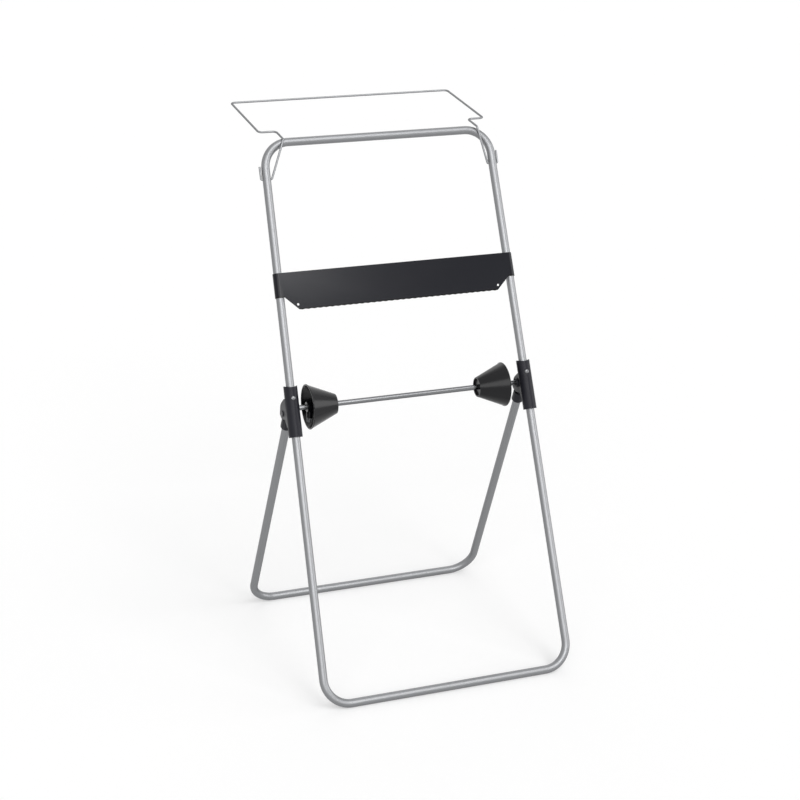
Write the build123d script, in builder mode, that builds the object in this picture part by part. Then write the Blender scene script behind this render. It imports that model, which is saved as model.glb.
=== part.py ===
from build123d import *
from math import acos, atan2, cos, degrees, radians, sin, sqrt
import os

# A folding floor stand for wide paper wiper rolls: a leaning front frame of
# bent tube, a hinged rear leg, a spindle with two cones, a tear-off plate and
# a wire hoop for a waste bag. Millimetres, X right, Y to the back, Z up.
# The origin is on the floor, under the middle of the whole stand.

# Bent tubes
tube_d = 16.0
tube_wall = 1.5
bend_r = 50.0
foot_width = 500.0
top_width = 462.0
frame_length = 1070.0
lean = 22.4
foot_spread = 513.0

# Hinge, measured up the front tube from the floor rail and back from its axis
pivot_up = 557.0
pivot_back = 28.0
rivet_d = 6.0
rivet_head_d = 13.0
rivet_head_h = 1.8
rivet_sink = 3.0
rivet_press = 0.02
rivet_run = 0.05

# Moulded caps on the leg's top ends, measured down the leg from the hinge
cap_wall = 3.5
cap_shoulder = 14.4
cap_length = 23.0
cap_floor = 2.0
tongue_r = 9.0
tongue_gap = 0.4
tongue_root = 0.5

# Hinge brackets
sleeve_wall = 5.1
cheek_wall = 4.0
sleeve_below = 48.5
sleeve_above = 49.0
scallop_depth = 3.0
hood_r = 17.5
hood_lead = 5.7
hood_inset = 3.0
hood_join = 26.0
hood_join_back = 8.0
heel_over = 1.0
stop_gap = 0.5
swing_gap = 1.0
web_taper = 14.0
fit_gap = 0.1

# Joint of the frame's two halves, inside the brackets' sleeves
joint_above = 41.0
joint_gap = 0.2
swage_length = 50.0
swage_step = 2.0
screw_above = 25.0
screw_d = 4.0
screw_head_d = 9.0
screw_head_h = 2.6
screw_head_taper = 20.0
screw_slot = 1.2
screw_length = 9.0
screw_sink = 0.8
screw_rim = 0.6

# Tear-off plate
plate_sheet = 1.5
plate_low = 747.0
plate_height = 73.0
tab_height = 47.0
tab_inset = 6.5
chamfer_run = 26.0
plate_fit = 0.15
wrap_turn = 215.0
tooth_pitch = 12.0
tooth_depth = 1.0
plate_hole_d = 4.5
hole_inset = 31.5
hole_up = 10.5

# Spindle and its open seats in the brackets
seat_up = 564.0
seat_back = 20.0
rod_d = 10.0
rod_chamfer = 0.8
boss_wall = 3.8
boss_height = 4.5
slot_depth = 4.0
slot_side = 0.2
rod_end_gap = 0.5

# Stop collars with thumb screws
collar_d = 20.0
collar_length = 12.0
collar_set_left = 20.0
collar_set_right = 25.7
collar_fit = 0.08
lug_d = 12.0
lug_reach = 21.5
nut_flats = 8.0
nut_thick = 4.0
nut_drop = 13.0
thumb_d = 5.0
thumb_head_d = 12.0
thumb_head_h = 8.0
thumb_chamfer = 0.8
thread_gap = 0.1
tip_gap = 0.4

# Cones
cone_large_d = 87.0
cone_small_d = 38.5
cone_length = 56.0
cone_wall = 2.6
cone_lip = 1.6
cone_hub_d = 18.0
cone_past_hub = 10.3
cone_fit = 0.1
cone_face_gap = 0.3
nose_wall = 3.0
nose_recess = 4.0
rib_count = 6
rib_thick = 2.2
rib_from_nose = 10.0
rib_from_mouth = 16.0

# Bag hoop
wire_d = 4.0
hoop_drop = 69.0
hoop_set = 6.0
hoop_width = 466.0
neck_width = 398.0
neck_length = 50.0
hoop_depth = 250.8
hoop_rise = 7.4
wire_bend = 2.6
wire_corner = 9.0
rail_bend = 5.0
rail_gap = 2.7
rail_lift = 3.4
eye_gap = 0.3
upturn = 25.0

tube_r = tube_d / 2
tube_bore_r = tube_r - tube_wall
rod_r = rod_d / 2
wire_r = wire_d / 2
rivet_r = rivet_d / 2
sleeve_r = tube_r + fit_gap + sleeve_wall
cap_r = tube_r + cap_wall
swing_r = tongue_r + swing_gap
lean_rad = radians(lean)
joint_up = pivot_up + joint_above
screw_up = pivot_up + screw_above
sleeve_low = pivot_up - sleeve_below
sleeve_length = sleeve_below + sleeve_above
hoop_up = frame_length - hoop_drop

# The hoop leaves the frame in front of the top rail and rises to the back.
rail_up = frame_length + rail_lift
rail_out = tube_r + wire_r + rail_gap
rise_rad = radians(hoop_rise)
hoop_back = rail_up * sin(lean_rad) - rail_out * cos(lean_rad) + hoop_depth * cos(rise_rad)
reach_back = max(hoop_back + wire_r, foot_spread + tube_r)
front_y = -(reach_back - tube_r) / 2
rear_y = front_y + foot_spread

up_front = (0, sin(lean_rad), cos(lean_rad))
out_front = (0, -cos(lean_rad), sin(lean_rad))


def front_half(up):
    """Half the frame's width between tube axes, at a distance up the tube."""
    return (foot_width + (top_width - foot_width) * up / frame_length) / 2


def front_point(across, up, out=0.0):
    """A point by its place across, up and out of the leaning front frame."""
    y = front_y + up * up_front[1] + out * out_front[1]
    z = tube_r + up * up_front[2] + out * out_front[2]
    return Vector(across, y, z)


def side_plane(x):
    """A plane across the stand, with its own x up the frame and y out of it."""
    return Plane(origin=(x, front_y, tube_r), x_dir=up_front, z_dir=(1, 0, 0))


def tube_plane(side, up):
    """A plane square to one side tube of the front frame, facing up it."""
    top = front_point(side * top_width / 2, frame_length)
    foot = front_point(side * foot_width / 2, 0)
    across = front_point(side * front_half(up), up)
    return Plane(origin=across, x_dir=out_front, z_dir=(top - foot).normalized())


def screw_plane(side, out):
    """A plane across a bracket screw's axis, facing out of the frame."""
    at = front_point(side * front_half(screw_up), screw_up, out)
    return Plane(origin=at, x_dir=(1, 0, 0), z_dir=out_front)


def save(part, name):
    """Label a finished piece and write it to its own file."""
    part.label = name
    export_step(part, f"parts/{name}.step")


pivot = front_point(0, pivot_up, -pivot_back)
pivot_half = front_half(pivot_up)
leg_length = sqrt((rear_y - pivot.Y) ** 2 + (pivot.Z - tube_r) ** 2)
rear_lean = degrees(atan2(rear_y - pivot.Y, pivot.Z - tube_r))
fold_angle = lean + rear_lean
leg_run = sqrt(leg_length ** 2 + (foot_width / 2 - pivot_half) ** 2)
cap_bottom = cap_shoulder + cap_floor
leg_top = leg_length * (1 - cap_bottom / leg_run)
leg_top_half = pivot_half + (foot_width / 2 - pivot_half) * cap_bottom / leg_run
rear_normal = (0, -cos(radians(rear_lean)), -sin(radians(rear_lean)))
front_plane = Plane(origin=(0, front_y, tube_r), x_dir=(1, 0, 0), z_dir=out_front)
rear_plane = Plane(origin=(0, rear_y, tube_r), x_dir=(1, 0, 0), z_dir=rear_normal)

spindle = front_point(0, seat_up, -seat_back)
bracket_in = pivot_half - sleeve_r
bracket_out = pivot_half + sleeve_r
hood_in = bracket_in + hood_inset
cavity_in = hood_in + cheek_wall
cavity_width = bracket_out - cheek_wall - cavity_in
boss_in = hood_in - boss_height
rod_half = boss_in + slot_depth - rod_end_gap

os.makedirs("parts", exist_ok=True)


def hinge_plane(x):
    """A plane square to the leg's hinge axis."""
    return Plane(origin=(x, pivot.Y, pivot.Z), x_dir=up_front, z_dir=(1, 0, 0))


def spindle_plane(side, x):
    """A plane square to the spindle, facing outwards on one side of the stand."""
    return Plane(origin=(side * x, spindle.Y, spindle.Z), x_dir=(0, 1, 0), z_dir=(side, 0, 0))


# Upper half of the front frame, with swaged ends that slide into the lower half
with BuildPart() as upper_frame:
    with BuildLine(front_plane) as upper_line:
        FilletPolyline(
            (-front_half(joint_up), joint_up),
            (-top_width / 2, frame_length),
            (top_width / 2, frame_length),
            (front_half(joint_up), joint_up),
            radius=bend_r,
        )
    with BuildSketch(Plane(origin=upper_line.line @ 0, z_dir=upper_line.line % 0)):
        Circle(tube_r)
        Circle(tube_bore_r, mode=Mode.SUBTRACT)
    sweep()
    swage_r = tube_bore_r - fit_gap
    for side in (-1, 1):
        with BuildSketch(tube_plane(side, joint_up)):
            Circle(tube_r)
            Circle(swage_r - tube_wall, mode=Mode.SUBTRACT)
        extrude(amount=swage_step)
        with BuildSketch(tube_plane(side, joint_up)):
            Circle(swage_r)
            Circle(swage_r - tube_wall, mode=Mode.SUBTRACT)
        extrude(amount=-swage_length)
        with BuildSketch(screw_plane(side, 0)):
            Circle(screw_d / 2 + fit_gap)
        extrude(amount=tube_d, mode=Mode.SUBTRACT)
    with BuildSketch(Plane(origin=front_point(-foot_width, hoop_up), z_dir=(1, 0, 0))):
        Circle(wire_r + eye_gap)
    extrude(amount=2 * foot_width, mode=Mode.SUBTRACT)
save(upper_frame.part, "upper_frame")

# Lower half of the front frame, with the front floor rail
lower_top = joint_up - joint_gap
with BuildPart() as lower_frame:
    with BuildLine(front_plane) as lower_line:
        FilletPolyline(
            (-front_half(lower_top), lower_top),
            (-foot_width / 2, 0),
            (foot_width / 2, 0),
            (front_half(lower_top), lower_top),
            radius=bend_r,
        )
    with BuildSketch(Plane(origin=lower_line.line @ 0, z_dir=lower_line.line % 0)):
        Circle(tube_r)
        Circle(tube_bore_r, mode=Mode.SUBTRACT)
    sweep()
    for side in (-1, 1):
        with BuildSketch(screw_plane(side, 0)):
            Circle(screw_d / 2 + fit_gap)
        extrude(amount=tube_d, mode=Mode.SUBTRACT)
save(lower_frame.part, "lower_frame")

# Rear leg, with the rear floor rail
with BuildPart() as rear_leg:
    with BuildLine(rear_plane) as rear_line:
        FilletPolyline(
            (-leg_top_half, leg_top),
            (-foot_width / 2, 0),
            (foot_width / 2, 0),
            (leg_top_half, leg_top),
            radius=bend_r,
        )
    with BuildSketch(Plane(origin=rear_line.line @ 0, z_dir=rear_line.line % 0)):
        Circle(tube_r)
        Circle(tube_bore_r, mode=Mode.SUBTRACT)
    sweep()
save(rear_leg.part, "rear_leg")


# The leg's run and its back, in the hinge's own x up the frame and y out of it
leg_down = Vector(-cos(radians(fold_angle)), -sin(radians(fold_angle)))
leg_over = Vector(sin(radians(fold_angle)), -cos(radians(fold_angle)))


def make_leg_cap(side):
    """A moulded cap on one end of the leg, with a tongue that turns in the bracket."""
    hinge = Vector(side * pivot_half, pivot.Y, pivot.Z)
    foot = rear_plane.from_local_coords(Vector(side * foot_width / 2, 0))
    cap_plane = Plane(origin=hinge, x_dir=rear_normal, z_dir=(foot - hinge).normalized())
    tongue_end = leg_down * (cap_shoulder + tongue_root)
    with BuildPart() as cap:
        with BuildSketch(cap_plane.offset(cap_shoulder)):
            Circle(cap_r)
        extrude(amount=cap_length)
        with BuildSketch(hinge_plane(side * (cavity_in + tongue_gap))):
            with BuildLine():
                Polyline(
                    leg_over * tongue_r,
                    leg_over * tongue_r + tongue_end,
                    leg_over * -tongue_r + tongue_end,
                    leg_over * -tongue_r,
                    close=True,
                )
            make_face()
            Circle(tongue_r)
        extrude(amount=side * (cavity_width - 2 * tongue_gap))
        with BuildSketch(cap_plane.offset(cap_bottom)):
            Circle(tube_r + fit_gap)
        extrude(amount=cap_length, mode=Mode.SUBTRACT)
        with BuildSketch(hinge_plane(side * bracket_in)):
            Circle(rivet_r + rivet_run)
        extrude(amount=side * 2 * sleeve_r, mode=Mode.SUBTRACT)
    return cap.part


# Side outline of a bracket's hood, in its own x up the frame and y out of it.
# Its heel stops the open leg, and its web clears the folded leg's cap.
hub = Vector(pivot_up, -pivot_back)
seat = Vector(seat_up, -seat_back)
hood_hub = hub - leg_down * hood_lead
hood_start = Vector(pivot_up + hood_join, -hood_join_back)
heel_down = cap_shoulder - stop_gap
heel_front = hub + leg_down * heel_down
heel_back = heel_front + leg_over * (cap_r + heel_over)
web_corner = hub + Vector(-heel_down, cap_r + stop_gap)
web_end = Vector(web_corner.X - web_taper, -tube_r)


def hood_touch(point, turn):
    """Where a line from a point touches the hood's round, on the chosen side."""
    away = point - hood_hub
    angle = atan2(away.Y, away.X) + turn * acos(hood_r / away.length)
    return angle, hood_hub + Vector(cos(angle), sin(angle)) * hood_r


top_angle, hood_top = hood_touch(hood_start, -1)
back_angle, hood_side = hood_touch(heel_back, 1)
mid_angle = (top_angle + back_angle) / 2
hood_mid = hood_hub + Vector(cos(mid_angle), sin(mid_angle)) * hood_r


def make_bracket(side):
    """A moulded hinge bracket: a sleeve on the front tube and a hood for the leg."""
    with BuildPart() as bracket:
        with BuildSketch(tube_plane(side, sleeve_low)):
            Circle(sleeve_r)
        extrude(amount=sleeve_length)
        with BuildSketch(side_plane(side * hood_in)):
            with BuildLine():
                Polyline((web_end.X, 0), (hood_start.X, 0), hood_start, hood_top)
                ThreePointArc(hood_top, hood_mid, hood_side)
                Polyline(hood_side, heel_back, heel_front, web_corner, web_end, (web_end.X, 0))
            make_face()
        extrude(amount=side * (bracket_out - hood_in))
        with BuildSketch(side_plane(side * boss_in)):
            with Locations(seat):
                Circle(rod_r + slot_side + boss_wall)
        extrude(amount=side * boss_height)
        # Room for the leg's tongue to swing from the heel to the back of the sleeve
        with BuildSketch(side_plane(side * cavity_in)):
            with BuildLine():
                Polyline(
                    hub + Vector(0, swing_r),
                    hub + Vector(-2 * sleeve_below, swing_r),
                    hub + leg_down * (2 * sleeve_below) + leg_over * swing_r,
                    hub + leg_over * swing_r,
                    close=True,
                )
            make_face()
            with Locations(hub):
                Circle(swing_r)
        extrude(amount=side * cavity_width, mode=Mode.SUBTRACT)
        with BuildSketch(tube_plane(side, sleeve_low - sleeve_r)):
            Circle(tube_r + fit_gap)
        extrude(amount=sleeve_length + 2 * sleeve_r, mode=Mode.SUBTRACT)
        # Hollowed top edge of the sleeve
        scallop_r = (sleeve_r ** 2 + scallop_depth ** 2) / (2 * scallop_depth)
        scallop_up = sleeve_low + sleeve_length - scallop_depth + scallop_r
        scallop_at = front_point(side * front_half(scallop_up), scallop_up, -2 * sleeve_r)
        with BuildSketch(Plane(origin=scallop_at, z_dir=out_front)):
            Circle(scallop_r)
        extrude(amount=4 * sleeve_r, mode=Mode.SUBTRACT)
        # Seat for the spindle, open up the frame
        with BuildSketch(side_plane(side * boss_in)):
            with Locations(seat):
                Circle(rod_r + slot_side)
            with Locations(seat + Vector(hood_join, 0)):
                Rectangle(2 * hood_join, rod_d + 2 * slot_side)
        extrude(amount=side * slot_depth, mode=Mode.SUBTRACT)
        with BuildSketch(hinge_plane(side * bracket_out)):
            Circle(rivet_r + rivet_press)
        extrude(amount=side * (cavity_in - rivet_sink - bracket_out), mode=Mode.SUBTRACT)
        # Hole and flat for the bracket screw
        with BuildSketch(screw_plane(side, 0)):
            Circle(screw_d / 2 + fit_gap)
        extrude(amount=2 * sleeve_r, mode=Mode.SUBTRACT)
        with BuildSketch(screw_plane(side, sleeve_r - screw_sink)):
            Circle(screw_head_d / 2 + screw_rim)
        extrude(amount=sleeve_r, mode=Mode.SUBTRACT)
    return bracket.part


def make_rivet(side):
    """A headed hinge rivet, from the outer cheek through the leg into the inner one."""
    with BuildPart() as rivet:
        with BuildSketch(hinge_plane(side * bracket_out)):
            Circle(rivet_r)
        extrude(amount=side * (cavity_in - rivet_sink + fit_gap - bracket_out))
        head_at = (side * bracket_out, pivot.Y, pivot.Z)
        with BuildSketch(Plane(origin=head_at, z_dir=(side, 0, 0))):
            Circle(rivet_head_d / 2)
        extrude(amount=rivet_head_h, taper=screw_head_taper)
    return rivet.part


# Screws through each sleeve, the lower tube and the swaged end inside it
with BuildPart() as bracket_screws:
    for side in (-1, 1):
        head_plane = screw_plane(side, sleeve_r - screw_sink)
        with BuildSketch(head_plane):
            Circle(screw_head_d / 2)
        extrude(amount=screw_head_h, taper=screw_head_taper)
        with BuildSketch(head_plane):
            Circle(screw_d / 2)
        extrude(amount=-screw_length)
        with BuildSketch(head_plane.offset(screw_head_h)):
            Rectangle(screw_head_d, screw_slot)
        extrude(amount=-screw_slot, mode=Mode.SUBTRACT)
save(bracket_screws.part, "bracket_screws")

# Tear-off plate: a flat sheet with a toothed lower edge, wrapped round both tubes
plate_top = plate_low + plate_height
tab_low = plate_top - tab_height
tab_out = front_half(tab_low) - tab_inset
edge_half = tab_out - chamfer_run
tooth_count = round(2 * edge_half / tooth_pitch)
tooth_step = 2 * edge_half / tooth_count
plate_out = tube_r + plate_fit
hole_across = front_half(plate_low) - hole_inset
wrap_length = sqrt(tab_height ** 2 + (front_half(tab_low) - front_half(plate_top)) ** 2)

plate_outline = [(-front_half(plate_top), plate_top), (-front_half(tab_low), tab_low), (-tab_out, tab_low)]
for tooth in range(tooth_count):
    tooth_start = -edge_half + tooth * tooth_step
    plate_outline.append((tooth_start, plate_low + tooth_depth))
    plate_outline.append((tooth_start + tooth_step / 2, plate_low))
plate_outline += [
    (edge_half, plate_low + tooth_depth),
    (tab_out, tab_low),
    (front_half(tab_low), tab_low),
    (front_half(plate_top), plate_top),
]

with BuildPart() as tear_plate:
    with BuildSketch(front_plane.offset(plate_out)):
        with BuildLine():
            Polyline(*plate_outline, close=True)
        make_face()
        with Locations((-hole_across, plate_low + hole_up), (hole_across, plate_low + hole_up)):
            Circle(plate_hole_d / 2, mode=Mode.SUBTRACT)
    extrude(amount=plate_sheet)
    for side in (-1, 1):
        with BuildSketch(tube_plane(side, tab_low)):
            with BuildLine():
                inner = CenterArc((0, 0), plate_out, 0, side * wrap_turn)
                outer = CenterArc((0, 0), plate_out + plate_sheet, 0, side * wrap_turn)
                Line(inner @ 0, outer @ 0)
                Line(inner @ 1, outer @ 1)
            make_face()
        extrude(amount=wrap_length)
save(tear_plate.part, "tear_plate")

# Spindle rod
with BuildPart() as spindle_rod:
    with BuildSketch(spindle_plane(1, -rod_half)):
        Circle(rod_r)
    extrude(amount=2 * rod_half)
    chamfer(spindle_rod.faces().group_by(Axis.X)[0].edges(), length=rod_chamfer)
    chamfer(spindle_rod.faces().group_by(Axis.X)[-1].edges(), length=rod_chamfer)
save(spindle_rod.part, "spindle_rod")


def below_plane(side, middle, drop):
    """A level plane under a collar's middle, facing down."""
    at = (side * middle, spindle.Y, spindle.Z - drop)
    return Plane(origin=at, x_dir=(1, 0, 0), z_dir=(0, 0, -1))


def make_collar(side, middle):
    """A stop collar on the spindle, with a lug for its thumb screw and nut."""
    with BuildPart() as collar:
        with BuildSketch(spindle_plane(side, middle)):
            Circle(collar_d / 2)
        extrude(amount=collar_length / 2, both=True)
        with BuildSketch(below_plane(side, middle, 0)):
            Circle(lug_d / 2)
        extrude(amount=lug_reach)
        with BuildSketch(spindle_plane(side, middle)):
            Circle(rod_r + collar_fit)
        extrude(amount=collar_length, both=True, mode=Mode.SUBTRACT)
        with BuildSketch(below_plane(side, middle, 0)):
            Circle(thumb_d / 2 + thread_gap)
        extrude(amount=lug_reach, mode=Mode.SUBTRACT)
        with BuildSketch(below_plane(side, middle, nut_drop - fit_gap)):
            RegularPolygon(nut_flats / 2 + fit_gap, 6, major_radius=False)
        extrude(amount=nut_thick + 2 * fit_gap, mode=Mode.SUBTRACT)
    return collar.part


def make_collar_nut(side, middle):
    """A hexagon nut moulded into a collar's lug."""
    with BuildPart() as nut:
        with BuildSketch(below_plane(side, middle, nut_drop)):
            RegularPolygon(nut_flats / 2, 6, major_radius=False)
            Circle(thumb_d / 2 + thread_gap, mode=Mode.SUBTRACT)
        extrude(amount=nut_thick)
    return nut.part


def make_thumb_screw(side, middle):
    """A thumb screw that clamps a collar to the spindle."""
    with BuildPart() as screw:
        with BuildSketch(below_plane(side, middle, lug_reach + tip_gap)):
            Circle(thumb_head_d / 2)
        extrude(amount=thumb_head_h)
        chamfer(screw.edges(), length=thumb_chamfer)
        with BuildSketch(below_plane(side, middle, rod_r + tip_gap)):
            Circle(thumb_d / 2)
        extrude(amount=lug_reach - rod_r)
    return screw.part


def make_cone(side, middle):
    """A hollow cone that centres a roll's core, with a ribbed hub on the spindle."""
    hub_end = middle - collar_length / 2 - cone_face_gap
    mouth = hub_end + cone_past_hub
    nose = mouth - cone_length
    nose_in = nose + nose_recess + nose_wall
    slope = (cone_large_d - cone_small_d) / 2 / cone_length
    profile_plane = Plane(
        origin=(0, spindle.Y, spindle.Z), x_dir=(side, 0, 0), z_dir=(0, -side, 0)
    )

    def wall_r(x):
        """The cone's outer radius at a distance from the stand's middle."""
        return cone_small_d / 2 + slope * (x - nose)

    with BuildPart() as cone:
        with BuildSketch(profile_plane):
            with BuildLine():
                Polyline(
                    (nose, cone_small_d / 2 - cone_wall),
                    (nose, cone_small_d / 2),
                    (mouth - cone_lip, wall_r(mouth - cone_lip)),
                    (mouth - cone_lip, wall_r(mouth)),
                    (mouth, wall_r(mouth)),
                    (mouth, wall_r(mouth) - cone_wall),
                    (nose_in, wall_r(nose_in) - cone_wall),
                    (nose_in, cone_hub_d / 2),
                    (hub_end, cone_hub_d / 2),
                    (hub_end, rod_r + cone_fit),
                    (nose + nose_recess, rod_r + cone_fit),
                    (nose + nose_recess, cone_small_d / 2 - cone_wall),
                    close=True,
                )
            make_face()
        revolve(axis=Axis((0, spindle.Y, spindle.Z), (1, 0, 0)))
        rib_in = nose + rib_from_nose
        rib_out = mouth - rib_from_mouth
        for rib in range(rib_count):
            with BuildSketch(profile_plane.rotated((360 * rib / rib_count, 0, 0))):
                with BuildLine():
                    Polyline(
                        (rib_in, cone_hub_d / 2 - cone_wall / 2),
                        (rib_out, cone_hub_d / 2 - cone_wall / 2),
                        (rib_out, wall_r(rib_out) - cone_wall / 2),
                        (rib_in, wall_r(rib_in) - cone_wall / 2),
                        close=True,
                    )
                make_face()
            extrude(amount=rib_thick / 2, both=True)
    return cone.part


# Bag hoop: one bent wire from eye to eye, its mouth sprung a little to the right
hoop_eye = front_half(hoop_up)
eye_out = hoop_eye + tube_r + wire_bend + eye_gap
eye_in = hoop_eye - tube_r - wire_bend + eye_gap
back_up = hoop_depth * (cos(rise_rad) * up_front[1] + sin(rise_rad) * up_front[2])
back_out = hoop_depth * (cos(rise_rad) * out_front[1] + sin(rise_rad) * out_front[2])
neck_up = rail_up + back_up * neck_length / hoop_depth
neck_out = rail_out + back_out * neck_length / hoop_depth
half_eye = [(eye_out, hoop_up + upturn), (eye_out, hoop_up), (eye_in, hoop_up)]
half_mouth = [
    (neck_width / 2, rail_up, rail_out),
    (neck_width / 2, neck_up, neck_out),
    (hoop_width / 2, neck_up, neck_out),
    (hoop_width / 2, rail_up + back_up, rail_out + back_out),
]
hoop_path = [front_point(-across, up) for across, up in half_eye]
hoop_path += [front_point(hoop_set - across, up, out) for across, up, out in half_mouth]
hoop_path += [front_point(hoop_set + across, up, out) for across, up, out in reversed(half_mouth)]
hoop_path += [front_point(across, up) for across, up in reversed(half_eye)]
half_bends = [wire_bend, wire_bend, rail_bend, wire_corner, wire_corner, wire_corner]

with BuildPart() as bag_hoop:
    with BuildLine() as hoop_line:
        FilletPolyline(*hoop_path, radius=half_bends + half_bends[::-1])
    with BuildSketch(Plane(origin=hoop_line.line @ 0, z_dir=hoop_line.line % 0)):
        Circle(wire_r)
    sweep()
save(bag_hoop.part, "bag_hoop")

for side, hand, collar_set in ((-1, "left", collar_set_left), (1, "right", collar_set_right)):
    middle = bracket_in - collar_set - collar_length / 2
    save(make_bracket(side), f"hinge_bracket_{hand}")
    save(make_rivet(side), f"hinge_rivet_{hand}")
    save(make_leg_cap(side), f"leg_cap_{hand}")
    save(make_collar(side, middle), f"stop_collar_{hand}")
    save(make_collar_nut(side, middle), f"collar_nut_{hand}")
    save(make_thumb_screw(side, middle), f"thumb_screw_{hand}")
    save(make_cone(side, middle), f"cone_{hand}")
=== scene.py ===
from math import acos, cos, hypot, pi, radians, sin, tan

import bmesh
import bpy
from bpy.props import FloatProperty, FloatVectorProperty, IntProperty, PointerProperty
from mathutils import Matrix, Vector


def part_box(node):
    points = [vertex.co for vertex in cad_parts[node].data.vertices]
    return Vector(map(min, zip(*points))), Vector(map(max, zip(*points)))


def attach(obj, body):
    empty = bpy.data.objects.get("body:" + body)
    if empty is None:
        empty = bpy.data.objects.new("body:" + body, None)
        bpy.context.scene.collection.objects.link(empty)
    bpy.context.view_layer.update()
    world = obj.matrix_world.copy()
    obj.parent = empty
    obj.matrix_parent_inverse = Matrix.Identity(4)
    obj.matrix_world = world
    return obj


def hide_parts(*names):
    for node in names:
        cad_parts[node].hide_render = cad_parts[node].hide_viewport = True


bl_info = {
    "name": "Paper roll stand",
    "version": (1, 0, 0),
    "blender": (4, 5, 0),
    "location": "3D View > Sidebar > Roll stand",
    "description": "Dresses the folding floor stand for paper rolls in its finished surfaces",
    "category": "Object",
}

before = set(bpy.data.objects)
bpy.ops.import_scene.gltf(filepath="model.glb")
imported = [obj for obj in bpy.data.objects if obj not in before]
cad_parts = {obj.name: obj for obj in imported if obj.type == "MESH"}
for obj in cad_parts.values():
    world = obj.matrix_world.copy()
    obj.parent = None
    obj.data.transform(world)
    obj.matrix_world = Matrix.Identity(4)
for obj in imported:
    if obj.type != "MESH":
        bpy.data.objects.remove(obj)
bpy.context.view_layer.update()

# The leaning front frame, in metres: its direction up, its direction out, its foot and its size
lean = radians(22.4)
up_front = Vector((0, sin(lean), cos(lean)))
out_front = Vector((0, -cos(lean), sin(lean)))
rail_z = 0.008
front_foot = Vector((0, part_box("lower_frame")[0].y + rail_z, rail_z))
rear_foot = Vector((0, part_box("rear_leg")[1].y - rail_z, rail_z))
foot_half = 0.250
top_half = 0.231
frame_length = 1.070


def front_half(up):
    """Half the frame's width between tube axes, at a distance up the tube."""
    return foot_half + (top_half - foot_half) * up / frame_length


def front_point(across, up, out=0.0):
    """A point by its place across, up and out of the leaning front frame."""
    return front_foot + Vector((across, 0, 0)) + up_front * up + out_front * out


# Hinge, spindle and hoop: their places up the frame and behind its tubes
joint_up = 0.598
pivot_up = 0.557
pivot_back = 0.028
pivot = front_point(0, pivot_up, -pivot_back)
pivot_half = front_half(pivot_up)
spindle_up = 0.564
spindle_back = 0.020
spindle = front_point(0, spindle_up, -spindle_back)
hoop_up = 1.001

# Brackets by the outside of their sleeves, and collars by their distance from the brackets
sleeve_r = 0.0132
bracket_in = pivot_half - sleeve_r
bracket_out = pivot_half + sleeve_r
hands = ((-1, "left"), (1, "right"))
collar_middle = {"left": bracket_in - 0.026, "right": bracket_in - 0.0317}

# Tear-off plate: its edges up the frame and the ends of its teeth and tabs
plate_low = 0.747
plate_top = 0.820
tab_height = 0.047
tab_inset = 0.0065
slant_width = 0.026
tab_low = plate_top - tab_height
tab_out = front_half(tab_low) - tab_inset
edge_half = tab_out - slant_width


def collar_point(side, hand):
    """The middle of a collar on the spindle's axis."""
    return Vector((side * collar_middle[hand], spindle.y, spindle.z))


def linear(code):
    """Turn an sRGB hex colour into linear values."""
    parts = [int(code[at:at + 2], 16) / 255 for at in (0, 2, 4)]
    return [part / 12.92 if part <= 0.04045 else ((part + 0.055) / 1.055) ** 2.4 for part in parts]


class StandSizes(bpy.types.PropertyGroup):
    """Sizes of the stand's finished pieces."""

    tube_d: FloatProperty(
        name="Tube diameter", description="Outside of the bent tubes",
        default=0.016, unit="LENGTH")
    tube_bend: FloatProperty(
        name="Tube bend", description="Radius of the tubes' corners on their axis",
        default=0.050, unit="LENGTH")
    wire_d: FloatProperty(
        name="Wire diameter", description="Thickness of the bag hoop's wire",
        default=0.004, unit="LENGTH")
    wire_bend: FloatProperty(
        name="Wire corner", description="Radius of the hoop's corners on its axis",
        default=0.009, unit="LENGTH")
    rod_d: FloatProperty(
        name="Spindle diameter", description="Outside of the spindle rod",
        default=0.010, unit="LENGTH")
    sheet: FloatProperty(
        name="Plate thickness", description="Sheet of the tear-off plate",
        default=0.0015, unit="LENGTH")
    tooth_pitch: FloatProperty(
        name="Tooth pitch", description="Spacing of the plate's teeth",
        default=0.012, unit="LENGTH")
    tooth_depth: FloatProperty(
        name="Tooth depth", description="Depth of the plate's teeth",
        default=0.001, unit="LENGTH")
    cone_large_d: FloatProperty(
        name="Cone mouth", description="Large diameter of the cones",
        default=0.087, unit="LENGTH")
    cone_small_d: FloatProperty(
        name="Cone nose", description="Small diameter of the cones",
        default=0.0385, unit="LENGTH")
    cone_length: FloatProperty(
        name="Cone length", description="Length of the cones",
        default=0.056, unit="LENGTH")
    cone_ribs: IntProperty(
        name="Cone ribs", description="Ribs between hub and wall of a cone",
        default=6, min=1)
    knurl_ridges: IntProperty(
        name="Knurl ridges", description="Ridges round a thumb screw's head",
        default=24, min=3)
    edge: FloatProperty(
        name="Moulded edge", description="Rounding of the mouldings' edges",
        default=0.0007, unit="LENGTH")


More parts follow.
